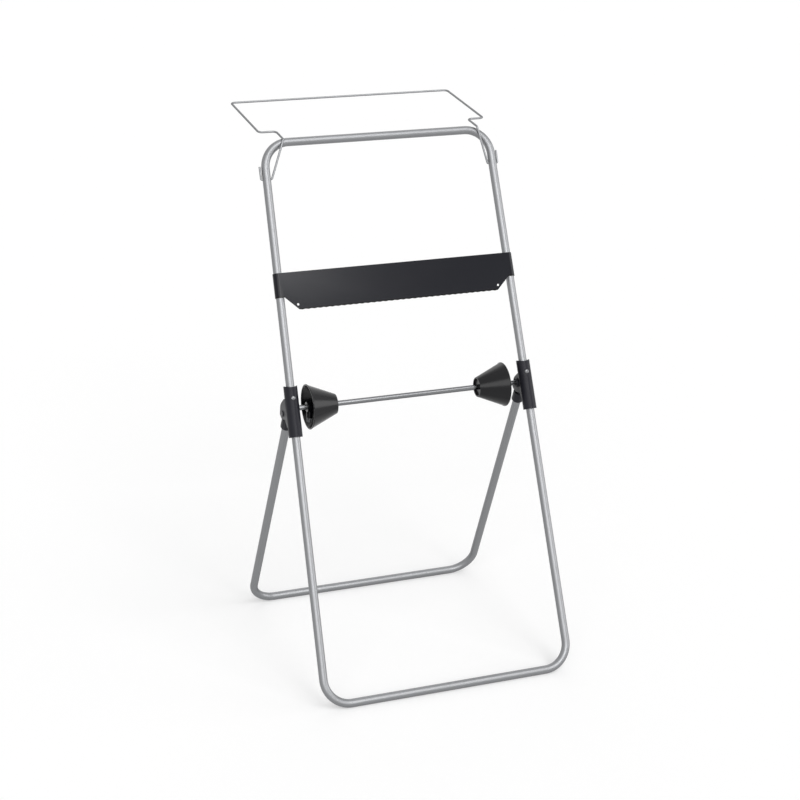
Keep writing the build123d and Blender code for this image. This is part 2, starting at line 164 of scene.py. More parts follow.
class StandColours(bpy.types.PropertyGroup):
    """Colours of the stand's finishes."""

    tube: FloatVectorProperty(
        name="Tube", description="Silver lacquer on the tubes",
        subtype="COLOR", default=linear("8b8c8e"))
    plate: FloatVectorProperty(
        name="Plate", description="Powder coat on the tear-off plate",
        subtype="COLOR", default=linear("12131a"))
    plastic: FloatVectorProperty(
        name="Mouldings", description="Black plastic of brackets and cones",
        subtype="COLOR", default=linear("25252b"))
    chrome: FloatVectorProperty(
        name="Spindle", description="Chrome on the spindle rod",
        subtype="COLOR", default=linear("7c7d7f"))
    wire: FloatVectorProperty(
        name="Wire", description="Zinc on the hoop's wire",
        subtype="COLOR", default=linear("909193"))
    hardware: FloatVectorProperty(
        name="Screws", description="Zinc on the screws",
        subtype="COLOR", default=linear("7e7f81"))
    rivet: FloatVectorProperty(
        name="Rivets", description="Blackened steel of the rivets",
        subtype="COLOR", default=linear("4a4a4d"))


def add_node(tree, kind, inputs=None, **settings):
    """Add a node, apply its settings, and feed its inputs with values or with other nodes' outputs."""
    made = tree.nodes.new(kind)
    for name, value in settings.items():
        setattr(made, name, value)
    for key, value in (inputs or {}).items():
        if isinstance(value, bpy.types.NodeSocket):
            tree.links.new(value, made.inputs[key])
        else:
            made.inputs[key].default_value = value
    return made


def surface(name, tint, shade, spot, rough, pore, lift, follow="", stretch=(1, 1, 1), **fixed):
    """A procedural surface of soft colour spots, roughness that follows them, and a fine relief.

    spot and pore are the widths of the spots and of the relief's grains in metres, lift is the
    relief's height, and follow names the attribute that the pattern follows instead of the object.
    """
    material = bpy.data.materials.new(name)
    material.use_nodes = True
    tree = material.node_tree
    shader = tree.nodes["Principled BSDF"]
    if follow:
        place = add_node(tree, "ShaderNodeAttribute", attribute_name=follow).outputs["Vector"]
    else:
        place = add_node(tree, "ShaderNodeTexCoord").outputs["Object"]
    laid = add_node(tree, "ShaderNodeMapping", {"Vector": place, "Scale": stretch}).outputs["Vector"]
    spots = add_node(tree, "ShaderNodeTexNoise", {"Vector": laid, "Scale": 1 / spot, "Detail": 3.0})
    grains = add_node(tree, "ShaderNodeTexNoise", {"Vector": laid, "Scale": 1 / pore, "Detail": 2.0})
    colour = add_node(
        tree, "ShaderNodeMix", {0: spots.outputs["Fac"], 6: (*tint, 1), 7: (*shade, 1)},
        data_type="RGBA")
    gloss = add_node(
        tree, "ShaderNodeMapRange",
        {"Value": spots.outputs["Fac"], "From Min": 0.3, "From Max": 0.7,
         "To Min": rough[0], "To Max": rough[1]})
    relief = add_node(
        tree, "ShaderNodeBump", {"Height": grains.outputs["Fac"], "Strength": 0.5, "Distance": lift})
    tree.links.new(colour.outputs[2], shader.inputs["Base Color"])
    tree.links.new(gloss.outputs["Result"], shader.inputs["Roughness"])
    tree.links.new(relief.outputs["Normal"], shader.inputs["Normal"])
    for socket, value in fixed.items():
        shader.inputs[socket.replace("_", " ")].default_value = value
    return material


def darker(colour, share):
    """The same colour with a share of its light taken away."""
    return [part * (1 - share) for part in colour]


def paint_edge_shade(material):
    """Paint shade on the plate's lower edges: a black band where a turned-back edge would lie in its
    own shade.
    """
    black = (0.002, 0.002, 0.002, 1)
    shade_full = 0.0022
    shade_end = 0.0034
    tree = material.node_tree
    shader = tree.nodes["Principled BSDF"]
    place = add_node(tree, "ShaderNodeTexCoord").outputs["Object"]
    lifted = add_node(tree, "ShaderNodeVectorMath", {0: place, 1: front_foot}, operation="SUBTRACT")
    height = add_node(
        tree, "ShaderNodeVectorMath", {0: lifted.outputs["Vector"], 1: up_front},
        operation="DOT_PRODUCT")
    across = add_node(tree, "ShaderNodeSeparateXYZ", {"Vector": place})
    aside = add_node(tree, "ShaderNodeMath", {0: across.outputs["X"]}, operation="ABSOLUTE")
    tab = add_node(
        tree, "ShaderNodeMath", {0: aside.outputs["Value"], 1: tab_out}, operation="GREATER_THAN")
    bottom = add_node(
        tree, "ShaderNodeMapRange",
        {"Value": tab.outputs["Value"], "To Min": plate_low, "To Max": tab_low})
    above = add_node(
        tree, "ShaderNodeMath", {0: height.outputs["Value"], 1: bottom.outputs["Result"]},
        operation="SUBTRACT")
    # Painted shade: within a few millimetres of the lower edges, the base colour is mixed to black
    band = add_node(
        tree, "ShaderNodeMapRange",
        {"Value": above.outputs["Value"], "From Min": shade_full, "From Max": shade_end,
         "To Min": 1.0, "To Max": 0.0})
    colour = shader.inputs["Base Color"].links[0].from_socket
    edge = add_node(
        tree, "ShaderNodeMix", {0: band.outputs["Result"], 6: colour, 7: black}, data_type="RGBA")
    tree.links.new(edge.outputs[2], shader.inputs["Base Color"])
    return material


# Each finish: its material's name, the shares by which its colour is darkened between its spots and in
# them, and its surface's measures. Grains and lines too fine to show are drawn coarser than real ones.
finishes = {
    # A metallic lacquer over drawn tube: an even satin with faint streaks along the tube.
    "tube": dict(
        name="Silver lacquer on steel tube", depth=(0, 0.06), spot=0.012, rough=(0.40, 0.42),
        pore=0.0024, lift=0.0000005, follow="along_tube", stretch=(1, 1, 0.08), Metallic=1.0,
        Specular_Tint=(0.8, 0.8, 0.8, 1)),
    # A baked powder coat: even, satin, with the faint orange peel of melted grains.
    "plate": dict(
        name="Anthracite powder coat on steel sheet", depth=(0, 0.10), spot=0.060, rough=(0.18, 0.20),
        pore=0.0016, lift=0.000002, Specular_IOR_Level=0.2),
    # Brackets and caps, with a spark eroded grain: a satin black with soft grey lights.
    "plastic": dict(
        name="Black glass filled nylon", depth=(0, 0.22), spot=0.020, rough=(0.32, 0.36),
        pore=0.0011, lift=0.000002, Specular_IOR_Level=0.14),
    # Cones and collars, from a polished tool: a glossy black with grey bands of light.
    "gloss": dict(
        name="Black moulded polypropylene", colour="plastic", depth=(0.80, 0.85), spot=0.020,
        rough=(0.19, 0.22), pore=0.0011, lift=0.0000005, Specular_IOR_Level=0.28),
    # Hard polished chrome: a bright line between dark flanks, a little clouded by handling.
    "chrome": dict(
        name="Polished chrome on steel rod", depth=(0, 0.06), spot=0.040, rough=(0.24, 0.26),
        pore=0.0030, lift=0.0000002, Metallic=1.0, Specular_Tint=(0.08, 0.08, 0.08, 1)),
    # Bright zinc over drawn wire: dull metal with fine lines along the wire.
    "wire": dict(
        name="Zinc on drawn steel wire", depth=(0, 0.08), spot=0.012, rough=(0.44, 0.47),
        pore=0.0016, lift=0.0000005, follow="along_tube", stretch=(1, 1, 0.1), Metallic=1.0,
        Specular_Tint=(0.45, 0.45, 0.45, 1)),
    # Bright zinc plate: pale metal with soft cloudy patches.
    "hardware": dict(
        name="Zinc plated steel screws", depth=(0, 0.2), spot=0.003, rough=(0.20, 0.34),
        pore=0.0006, lift=0.00001, Metallic=1.0),
    # Blackened steel: dark metal with a thin oiled sheen.
    "rivet": dict(
        name="Blackened steel rivets", depth=(0, 0.3), spot=0.004, rough=(0.34, 0.48),
        pore=0.0007, lift=0.00001, Metallic=1.0),
}


def finish(kind):
    """The material of one finish, made the first time that a piece asks for it."""
    given = dict(finishes[kind])
    name = given.pop("name")
    made = bpy.data.materials.get(name)
    if made:
        return made
    tint = getattr(bpy.context.scene.stand_colours, given.pop("colour", kind))
    first, last = given.pop("depth")
    made = surface(name, darker(tint, first), darker(tint, last), **given)
    # The plate also gets a painted band of shade along its lower edges
    return paint_edge_shade(made) if kind == "plate" else made


def new_piece(name, points, edges=(), faces=()):
    """Add an object at the origin with its place in its mesh."""
    mesh = bpy.data.meshes.new(name)
    mesh.from_pydata(points, edges, faces)
    made = bpy.data.objects.new(name, mesh)
    bpy.context.scene.collection.objects.link(made)
    return made


def settle(piece):
    """Keep a piece's evaluated shape as its plain mesh, without its modifiers."""
    depsgraph = bpy.context.evaluated_depsgraph_get()
    mesh = bpy.data.meshes.new_from_object(piece.evaluated_get(depsgraph))
    piece.modifiers.clear()
    old = piece.data
    piece.data = mesh
    mesh.name = old.name
    bpy.data.meshes.remove(old)
    return piece


def grow(piece, tree, values):
    """Run a node tree on a piece with named inputs, and keep the result as its plain mesh."""
    modifier = piece.modifiers.new(tree.name, "NODES")
    modifier.node_group = tree
    for item in tree.interface.items_tree:
        if item.in_out == "INPUT" and item.name in values:
            modifier[item.identifier] = values[item.name]
    return settle(piece)


def cut(piece, cutter):
    """Take a cutter's shape out of a piece, and drop the cutter."""
    modifier = piece.modifiers.new("cut", "BOOLEAN")
    modifier.operation = "DIFFERENCE"
    modifier.solver = "MANIFOLD"
    modifier.object = cutter
    settle(piece)
    bpy.data.objects.remove(cutter)


def round_edges(piece, width, angle):
    """Round the edges where a piece's faces turn more than the angle."""
    bevel = piece.modifiers.new("edge", "BEVEL")
    bevel.width = width
    bevel.segments = 2
    bevel.limit_method = "ANGLE"
    bevel.angle_limit = radians(angle)
    settle(piece)


def smooth(piece, angle=35.0):
    """Shade a piece smooth, with sharp edges where its faces turn more than the angle."""
    piece.data.shade_smooth()
    piece.data.set_sharp_from_angle(angle=radians(angle))
    return piece


def merged(name, parts):
    """One piece from the shapes of several, which are dropped."""
    whole = bmesh.new()
    for part in parts:
        whole.from_mesh(part.data)
        bpy.data.objects.remove(part)
    made = new_piece(name, [])
    whole.to_mesh(made.data)
    whole.free()
    return made


def dress(piece, kind, body, *nodes):
    """Give a piece its finish, its body and the CAD nodes that it stands for."""
    piece.data.materials.clear()
    piece.data.materials.append(finish(kind))
    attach(piece, body)
    if nodes:
        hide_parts(*nodes)


def new_tree(name, sockets):
    """An empty geometry tree with the named inputs, and its group input's outputs."""
    tree = bpy.data.node_groups.new(name, "GeometryNodeTree")
    for socket, kind in sockets:
        tree.interface.new_socket(name=socket, in_out="INPUT", socket_type="NodeSocket" + kind)
    tree.interface.new_socket(name="Shape", in_out="OUTPUT", socket_type="NodeSocketGeometry")
    return tree, add_node(tree, "NodeGroupInput").outputs


def end_tree(tree, shape, material):
    """Close a tree with real geometry in its finish."""
    real = add_node(tree, "GeometryNodeRealizeInstances", {"Geometry": shape})
    coated = add_node(
        tree, "GeometryNodeSetMaterial", {"Geometry": real.outputs["Geometry"], "Material": material})
    add_node(tree, "NodeGroupOutput", {"Shape": coated.outputs["Geometry"]})
    return tree


def bent_tube_tree():
    """A tree that sweeps a round section along a path, whose corners bend by their own radius."""
    made = bpy.data.node_groups.get("Bent tube")
    if made:
        return made
    tree, given = new_tree("Bent tube", (
        ("Path", "Geometry"), ("Radius", "Float"), ("Bend steps", "Int"), ("Sides", "Int"),
        ("Finish", "Material")))
    path = add_node(tree, "GeometryNodeMeshToCurve", {"Mesh": given["Path"]})
    bend = add_node(tree, "GeometryNodeInputNamedAttribute", {"Name": "bend"}, data_type="FLOAT")
    rounded_path = add_node(
        tree, "GeometryNodeFilletCurve",
        {"Curve": path.outputs["Curve"], "Radius": bend.outputs["Attribute"],
         "Count": given["Bend steps"]},
        mode="POLY")
    run = add_node(tree, "GeometryNodeSplineParameter")
    measured = add_node(
        tree, "GeometryNodeStoreNamedAttribute",
        {"Geometry": rounded_path.outputs["Curve"], "Name": "run", "Value": run.outputs["Length"]},
        data_type="FLOAT", domain="POINT")
    even = add_node(
        tree, "GeometryNodeSetCurveRadius", {"Curve": measured.outputs["Geometry"], "Radius": 1.0})
    ring = add_node(
        tree, "GeometryNodeCurvePrimitiveCircle",
        {"Radius": given["Radius"], "Resolution": given["Sides"]}, mode="RADIUS")
    round_place = add_node(tree, "GeometryNodeInputPosition")
    section = add_node(
        tree, "GeometryNodeStoreNamedAttribute",
        {"Geometry": ring.outputs["Curve"], "Name": "ring", "Value": round_place.outputs["Position"]},
        data_type="FLOAT_VECTOR", domain="POINT")
    swept = add_node(
        tree, "GeometryNodeCurveToMesh",
        {"Curve": even.outputs["Curve"], "Profile Curve": section.outputs["Geometry"],
         "Fill Caps": True})
    run_kept = add_node(tree, "GeometryNodeInputNamedAttribute", {"Name": "run"}, data_type="FLOAT")
    ring_kept = add_node(
        tree, "GeometryNodeInputNamedAttribute", {"Name": "ring"}, data_type="FLOAT_VECTOR")
    along = add_node(tree, "ShaderNodeCombineXYZ", {"Z": run_kept.outputs["Attribute"]})
    straight = add_node(
        tree, "ShaderNodeVectorMath", {0: ring_kept.outputs["Attribute"], 1: along.outputs["Vector"]},
        operation="ADD")
    marked = add_node(
        tree, "GeometryNodeStoreNamedAttribute",
        {"Geometry": swept.outputs["Mesh"], "Name": "along_tube", "Value": straight.outputs["Vector"]},
        data_type="FLOAT_VECTOR", domain="POINT")
    shaded = add_node(tree, "GeometryNodeSetShadeSmooth", {"Geometry": marked.outputs["Geometry"]})
    return end_tree(tree, shaded.outputs["Geometry"], given["Finish"])


def ring_tree():
    """A tree that repeats a shape round the X axis."""
    made = bpy.data.node_groups.get("Ring of copies")
    if made:
        return made
    tree, given = new_tree("Ring of copies", (
        ("One", "Geometry"), ("Count", "Int"), ("Finish", "Material")))
    points = add_node(tree, "GeometryNodePoints", {"Count": given["Count"]})
    index = add_node(tree, "GeometryNodeInputIndex")
    share = add_node(
        tree, "ShaderNodeMath", {0: index.outputs["Index"], 1: given["Count"]}, operation="DIVIDE")
    angle = add_node(
        tree, "ShaderNodeMath", {0: share.outputs["Value"], 1: 2 * pi}, operation="MULTIPLY")
    turn = add_node(
        tree, "FunctionNodeAxisAngleToRotation", {"Axis": (1, 0, 0), "Angle": angle.outputs["Value"]})
    copies = add_node(
        tree, "GeometryNodeInstanceOnPoints",
        {"Points": points.outputs[0], "Instance": given["One"], "Rotation": turn.outputs["Rotation"]})
    return end_tree(tree, copies.outputs["Instances"], given["Finish"])


def fastener_tree():
    """A tree that puts a copy of one fastener at each point, along that point's facing."""
    made = bpy.data.node_groups.get("Fasteners")
    if made:
        return made
    tree, given = new_tree("Fasteners", (
        ("Places", "Geometry"), ("One", "Object"), ("Finish", "Material")))
    one = add_node(tree, "GeometryNodeObjectInfo", {"Object": given["One"]})
    facing = add_node(
        tree, "GeometryNodeInputNamedAttribute", {"Name": "facing"}, data_type="FLOAT_VECTOR")
    turn = add_node(
        tree, "FunctionNodeAlignRotationToVector", {"Vector": facing.outputs["Attribute"]}, axis="Z")
    points = add_node(tree, "GeometryNodeMeshToPoints", {"Mesh": given["Places"]})
    copies = add_node(
        tree, "GeometryNodeInstanceOnPoints",
        {"Points": points.outputs["Points"], "Instance": one.outputs["Geometry"],
         "Rotation": turn.outputs["Rotation"]})
    return end_tree(tree, copies.outputs["Instances"], given["Finish"])


def bent_tube(name, path, bends, diameter, kind, sides=48, bend_steps=24):
    """A round tube or wire along a path of points, each with its own bend radius."""
    made = new_piece(name, path, edges=[(at, at + 1) for at in range(len(path) - 1)])
    radii = made.data.attributes.new("bend", "FLOAT", "POINT")
    radii.data.foreach_set("value", bends)
    return grow(made, bent_tube_tree(), {
        "Radius": diameter / 2, "Bend steps": bend_steps, "Sides": sides, "Finish": finish(kind)})


def fasteners(name, one, places, kind):
    """Copies of one fastener at points with a facing each, as one piece."""
    made = new_piece(name, [at for at, _ in places])
    facing = made.data.attributes.new("facing", "FLOAT_VECTOR", "POINT")
    facing.data.foreach_set("vector", [part for _, way in places for part in way])
    grow(made, fastener_tree(), {"One": one, "Finish": finish(kind)})
    bpy.data.objects.remove(one)
    return made


def rounded(corners, radius, closed, steps=4):
    """An outline in the plane with its corners rounded, by less where a side is too short."""
    most_of_side = 0.45
    corners = [Vector(corner) for corner in corners]
    outline = []
    for at, corner in enumerate(corners):
        if not closed and at in (0, len(corners) - 1):
            outline.append(corner)
            continue
        back = corners[at - 1] - corner
        on = corners[(at + 1) % len(corners)] - corner
        half = acos(max(-1, min(1, back.normalized().dot(on.normalized())))) / 2
        reach = min(radius / tan(half), back.length * most_of_side, on.length * most_of_side)
        middle = corner + (back.normalized() + on.normalized()).normalized() * (reach / cos(half))
        start = corner + back.normalized() * reach - middle
        end = corner + on.normalized() * reach - middle
        for step in range(steps + 1):
            outline.append(middle + start.slerp(end, step / steps) * start.length)
    return outline


def turned(name, line, place, sides, edge=0.0, hollow=False):
    """A turned piece: a line of (along, radius) points spun round the X axis, then put in its place.

    edge rounds the line's corners. A hollow piece's line closes on itself, and a solid one's
    begins and ends on the axis.
    """
    on_axis = 1e-7
    points, faces, rings = [], [], []
    for along, radius in rounded(line, edge, hollow) if edge else line:
        start = len(points)
        if radius < on_axis:
            points.append(place @ Vector((along, 0, 0)))
            rings.append([start] * sides)
            continue
        for side in range(sides):
            angle = 2 * pi * side / sides
            points.append(place @ Vector((along, radius * cos(angle), radius * sin(angle))))
        rings.append(list(range(start, start + sides)))
    for one, two in zip(rings, rings[1:] + rings[:1] if hollow else rings[1:]):
        for side in range(sides):
            after = (side + 1) % sides
            corners = [one[side], two[side], two[after], one[after]]
            faces.append(list(dict.fromkeys(corners)))
    made = new_piece(name, points, faces=faces)
    shape = bmesh.new()
    shape.from_mesh(made.data)
    bmesh.ops.recalc_face_normals(shape, faces=shape.faces)
    shape.to_mesh(made.data)
    shape.free()
    return smooth(made)


def block(name, low, high):
    """A plain block between two corners, for cutting."""
    points = [(x, y, z) for x in (low[0], high[0]) for y in (low[1], high[1])
              for z in (low[2], high[2])]
    faces = ((0, 1, 3, 2), (4, 6, 7, 5), (0, 4, 5, 1), (2, 3, 7, 6), (0, 2, 6, 4), (1, 5, 7, 3))
    return new_piece(name, points, faces=faces)


def mould(node, name, body):
    """Dress a CAD node with a copy of its shape, whose edges are rounded as a moulding's are."""
    made = new_piece(name, [])
    shape = bmesh.new()
    shape.from_mesh(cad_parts[node].data)
    bmesh.ops.remove_doubles(shape, verts=shape.verts, dist=2e-6)
    bmesh.ops.dissolve_limit(shape, angle_limit=radians(0.5), verts=shape.verts, edges=shape.edges)
    shape.to_mesh(made.data)
    shape.free()
    round_edges(made, bpy.context.scene.stand_sizes.edge, angle=32)
    dress(smooth(made, angle=22), "plastic", body, node)


def along_x(side, at):
    """A frame whose X axis points outwards on one side of the stand."""
    return Matrix.Translation(at) @ Matrix.Rotation(0 if side > 0 else pi, 4, "Z")


def along_z(at, down=False):
    """A frame whose X axis points up, or down."""
    return Matrix.Translation(at) @ Matrix.Rotation(pi / 2 if down else -pi / 2, 4, "Y")


class BendTubes(bpy.types.Operator):
    """Bend the two halves of the front frame and the rear leg from tube"""

    bl_idname = "roll_stand.bend_tubes"
    bl_label = "Bend tubes"

    def execute(self, context):
        sizes = context.scene.stand_sizes
        bends = (0, sizes.tube_bend, sizes.tube_bend, 0)
        joint_gap = 0.0002
        cap_depth = 0.0164
        wire_play = 0.0003
        drill_half = 0.3

        upper = [(-front_half(joint_up), joint_up), (-top_half, frame_length),
                 (top_half, frame_length), (front_half(joint_up), joint_up)]
        upper_path = [front_point(across, up) for across, up in upper]
        top = bent_tube("upper_tube", upper_path, bends, sizes.tube_d, "tube")
        hole_r = sizes.wire_d / 2 + wire_play
        drill = [(-drill_half, 0), (-drill_half, hole_r), (drill_half, hole_r), (drill_half, 0)]
        cut(top, turned("eye_drill", drill, Matrix.Translation(front_point(0, hoop_up)), sides=32))
        dress(smooth(top), "tube", "frame", "upper_frame")

        low_end = joint_up - joint_gap
        lower = [(-front_half(low_end), low_end), (-foot_half, 0), (foot_half, 0),
                 (front_half(low_end), low_end)]
        lower_path = [front_point(across, up) for across, up in lower]
        low = bent_tube("lower_tube", lower_path, bends, sizes.tube_d, "tube")
        dress(smooth(low), "tube", "frame", "lower_frame")

        # The leg's tube ends in its caps, short of the hinge
        leg_up = (pivot - rear_foot).normalized()
        leg_length = (pivot - rear_foot).length
        in_cap = cap_depth / hypot(leg_length, foot_half - pivot_half)
        leg_top = leg_length * (1 - in_cap)
        leg_half = pivot_half + (foot_half - pivot_half) * in_cap
        leg = [(-leg_half, leg_top), (-foot_half, 0), (foot_half, 0), (leg_half, leg_top)]
        leg_path = [rear_foot + Vector((across, 0, 0)) + leg_up * up for across, up in leg]
        back = bent_tube("leg_tube", leg_path, bends, sizes.tube_d, "tube")
        dress(smooth(back), "tube", "rear_leg", "rear_leg")
        return {"FINISHED"}


class BendHoop(bpy.types.Operator):
    """Bend the bag hoop from one length of wire"""

    bl_idname = "roll_stand.bend_hoop"
    bl_label = "Bend bag hoop"

    def execute(self, context):
        sizes = context.scene.stand_sizes
        eye = front_half(hoop_up)
        tail_across = eye + 0.0109
        tail_length = 0.025
        strut_across = eye - 0.0103
        neck_half = 0.199
        side_half = 0.233
        aside = 0.006
        tail_bend = 0.0026
        strut_bend = 0.005
        rise = radians(7.4)
        reach = 0.2508
        neck = 0.050 / reach
        rail_up = frame_length + 0.0034
        rail_out = sizes.tube_d / 2 + sizes.wire_d / 2 + 0.0027
        back = Vector((0, cos(rise), sin(rise))) * reach
        back_up = back.dot(up_front)
        back_out = back.dot(out_front)
        half = [
            (0, tail_across, hoop_up + tail_length, 0),
            (0, tail_across, hoop_up, 0),
            (0, strut_across, hoop_up, 0),
            (aside, neck_half, rail_up, rail_out),
            (aside, neck_half, rail_up + back_up * neck, rail_out + back_out * neck),
            (aside, side_half, rail_up + back_up * neck, rail_out + back_out * neck),
            (aside, side_half, rail_up + back_up, rail_out + back_out),
        ]
        path = [front_point(shift - across, up, out) for shift, across, up, out in half]
        path += [front_point(shift + across, up, out) for shift, across, up, out in reversed(half)]
        bends = [0, tail_bend, tail_bend, strut_bend] + [sizes.wire_bend] * 3
        hoop = bent_tube("hoop_wire", path, bends + bends[::-1], sizes.wire_d, "wire", sides=24)
        dress(smooth(hoop, angle=50), "wire", "bag_hoop", "bag_hoop")
        return {"FINISHED"}


class FoldPlate(bpy.types.Operator):
    """Cut and fold the tear-off plate from sheet"""

    bl_idname = "roll_stand.fold_plate"
    bl_label = "Fold tear-off plate"

    def execute(self, context):
        sizes = context.scene.stand_sizes
        tube_play = 0.00015
        edge_share = 0.2
        sheet_out = sizes.tube_d / 2 + tube_play + sizes.sheet / 2

        # The flat front: tabs at the tubes, slanted corners and teeth between them
        count = round(2 * edge_half / sizes.tooth_pitch)
        step = 2 * edge_half / count
        outline = [(-front_half(plate_top), plate_top), (-front_half(tab_low), tab_low),
                   (-tab_out, tab_low)]
        for tooth in range(count):
            start = -edge_half + tooth * step
            outline += [(start, plate_low + sizes.tooth_depth), (start + step / 2, plate_low)]
        outline += [(edge_half, plate_low + sizes.tooth_depth), (tab_out, tab_low),
                    (front_half(tab_low), tab_low), (front_half(plate_top), plate_top)]
        sheet = bmesh.new()
        rim = [sheet.verts.new(front_point(across, up, sheet_out)) for across, up in outline]

        # A small hole near each lower corner
        hole_r = 0.00225
        hole_up = plate_low + 0.0105
        hole_across = front_half(plate_low) - 0.0315
        hole_sides = 24
        loops = [rim]
        for side in (-1, 1):
            loops.append([
                sheet.verts.new(front_point(
                    side * hole_across + hole_r * cos(turn), hole_up + hole_r * sin(turn), sheet_out))
                for turn in (2 * pi * share / hole_sides for share in range(hole_sides))])
        edges = []
        for loop in loops:
            for one, two in zip(loop, loop[1:] + loop[:1]):
                edges.append(sheet.edges.new((one, two)))
        bmesh.ops.triangle_fill(sheet, use_beauty=True, edges=edges)

        # The ends, wrapped round the tubes
        wrap = radians(215)
        wrap_steps = 36
        for side, top_end, low_end in ((-1, rim[0], rim[1]), (1, rim[-1], rim[-2])):
            ends = (top_end, low_end)
            for turn in range(1, wrap_steps + 1):
                angle = wrap * turn / wrap_steps
                new_ends = [
                    sheet.verts.new(front_point(
                        side * (front_half(up) + sheet_out * sin(angle)), up, sheet_out * cos(angle)))
                    for up in (plate_top, tab_low)]
                sheet.faces.new((ends[0], ends[1], new_ends[1], new_ends[0]))
                ends = new_ends
        bmesh.ops.recalc_face_normals(sheet, faces=sheet.faces)
        plate = new_piece("plate_sheet", [])
        sheet.to_mesh(plate.data)
        sheet.free()
        wall = plate.modifiers.new("wall", "SOLIDIFY")
        wall.thickness = sizes.sheet
        wall.offset = 0
        round_edges(plate, sizes.sheet * edge_share, angle=50)
        dress(smooth(plate, angle=12), "plate", "frame", "tear_plate")
        return {"FINISHED"}


class MouldBrackets(bpy.types.Operator):
    """Mould the two hinge brackets"""

    bl_idname = "roll_stand.mould_brackets"
    bl_label = "Mould hinge brackets"

    def execute(self, context):
        for _, hand in hands:
            mould(f"hinge_bracket_{hand}", f"moulded_bracket_{hand}", "frame")
        return {"FINISHED"}


class SetFasteners(bpy.types.Operator):
    """Set the hinge rivets and the bracket screws"""

    bl_idname = "roll_stand.set_fasteners"
    bl_label = "Set rivets and screws"

    def execute(self, context):
        shank = 0.0223
        shank_r = 0.003
        head = 0.0018
        head_r = 0.0065
        face_r = 0.0058
        rivet_line = [(-shank, 0), (-shank, shank_r), (0, shank_r), (0, head_r), (head, face_r),
                      (head, 0)]
        rivet = turned("rivet", rivet_line, along_z(Vector()), sides=48, edge=0.0007)
        places = [(Vector((side * bracket_out, pivot.y, pivot.z)), Vector((side, 0, 0)))
                  for side, _ in hands]
        rivets = fasteners("rivet_pair", rivet, places, "rivet")
        dress(smooth(rivets), "rivet", "frame", "hinge_rivet_left", "hinge_rivet_right")

        # A screw's domed head with a slot across it
        thread = 0.009
        thread_r = 0.002
        dome = [(0, 0.0045), (0.001, 0.0041), (0.0019, 0.0031), (0.0026, 0)]
        slot_half = 0.0006
        slot_floor = 0.0014
        past_head = 0.01
        screw_line = [(-thread, 0), (-thread, thread_r), (0, thread_r), *dome]
        screw = turned("screw", screw_line, along_z(Vector()), sides=40, edge=0.0004)
        cut(screw, block(
            "slot", (-past_head, -slot_half, slot_floor), (past_head, slot_half, past_head)))
        screw_up = pivot_up + 0.025
        screw_out = sleeve_r - 0.0008
        places = [(front_point(side * front_half(screw_up), screw_up, screw_out), out_front)
                  for side, _ in hands]
        screws = fasteners("screw_pair", screw, places, "hardware")
        dress(smooth(screws), "hardware", "frame", "bracket_screws")
        return {"FINISHED"}


class TurnSpindle(bpy.types.Operator):
    """Turn the spindle rod"""

    bl_idname = "roll_stand.turn_spindle"
    bl_label = "Turn spindle"

    def execute(self, context):
        radius = context.scene.stand_sizes.rod_d / 2
        in_seat = 0.002
        chamfer = 0.0008
        half = bracket_in + in_seat
        line = [(-half, 0), (-half, radius - chamfer), (chamfer - half, radius),
                (half - chamfer, radius), (half, radius - chamfer), (half, 0)]
        rod = turned("spindle_bar", line, Matrix.Translation(spindle), sides=48, edge=0.0003)
        dress(rod, "chrome", "spindle", "spindle_rod")
        return {"FINISHED"}


class MouldCones(bpy.types.Operator):
    """Mould the two cones that centre the roll"""

    bl_idname = "roll_stand.mould_cones"
    bl_label = "Mould cones"

    def execute(self, context):
        sizes = context.scene.stand_sizes
        wall = 0.0026
        hub_r = 0.009
        bore_r = 0.0051
        rib_half = 0.0011
        hub_gap = 0.0063
        mouth_past_hub = 0.0103
        lip_width = 0.0016
        floor_in = 0.007
        recess = 0.004
        rib_from_nose = 0.010
        rib_from_mouth = 0.016
        rim_r = sizes.cone_large_d / 2
        nose_r = sizes.cone_small_d / 2
        slope = (sizes.cone_large_d - sizes.cone_small_d) / 2 / sizes.cone_length
        for side, hand in hands:
            hub_end = collar_middle[hand] - hub_gap
            mouth = hub_end + mouth_past_hub
            nose = mouth - sizes.cone_length
            floor = nose + floor_in
            lip = mouth - lip_width
            line = [
                (nose, nose_r - wall), (nose, nose_r), (lip, nose_r + slope * (lip - nose)),
                (lip, rim_r), (mouth, rim_r), (mouth, rim_r - wall),
                (floor, nose_r + slope * floor_in - wall), (floor, hub_r), (hub_end, hub_r),
                (hub_end, bore_r), (nose + recess, bore_r), (nose + recess, nose_r - wall),
            ]
            place = along_x(side, spindle)
            shell = turned("shell", line, place, sides=96, edge=0.0006, hollow=True)

            # Ribs from the hub to the wall, whose ends lie within both
            rib_in = nose + rib_from_nose
            rib_out = mouth - rib_from_mouth
            rib_low = hub_r - wall / 2
            corners = [(rib_in, rib_low), (rib_out, rib_low),
                       (rib_out, nose_r + slope * (rib_out - nose) - wall / 2),
                       (rib_in, nose_r + slope * (rib_in - nose) - wall / 2)]
            points = [(along, y, out) for y in (-rib_half, rib_half) for along, out in corners]
            faces = [(3, 2, 1, 0), (4, 5, 6, 7), (0, 1, 5, 4), (1, 2, 6, 5), (2, 3, 7, 6), (3, 0, 4, 7)]
            rib = new_piece("rib", points, faces=faces)
            ribs = grow(rib, ring_tree(), {"Count": sizes.cone_ribs, "Finish": finish("gloss")})
            ribs.data.transform(place)
            cone = merged(f"moulded_cone_{hand}", [shell, ribs])
            dress(smooth(cone), "gloss", f"cone_{hand}", f"cone_{hand}")
        return {"FINISHED"}


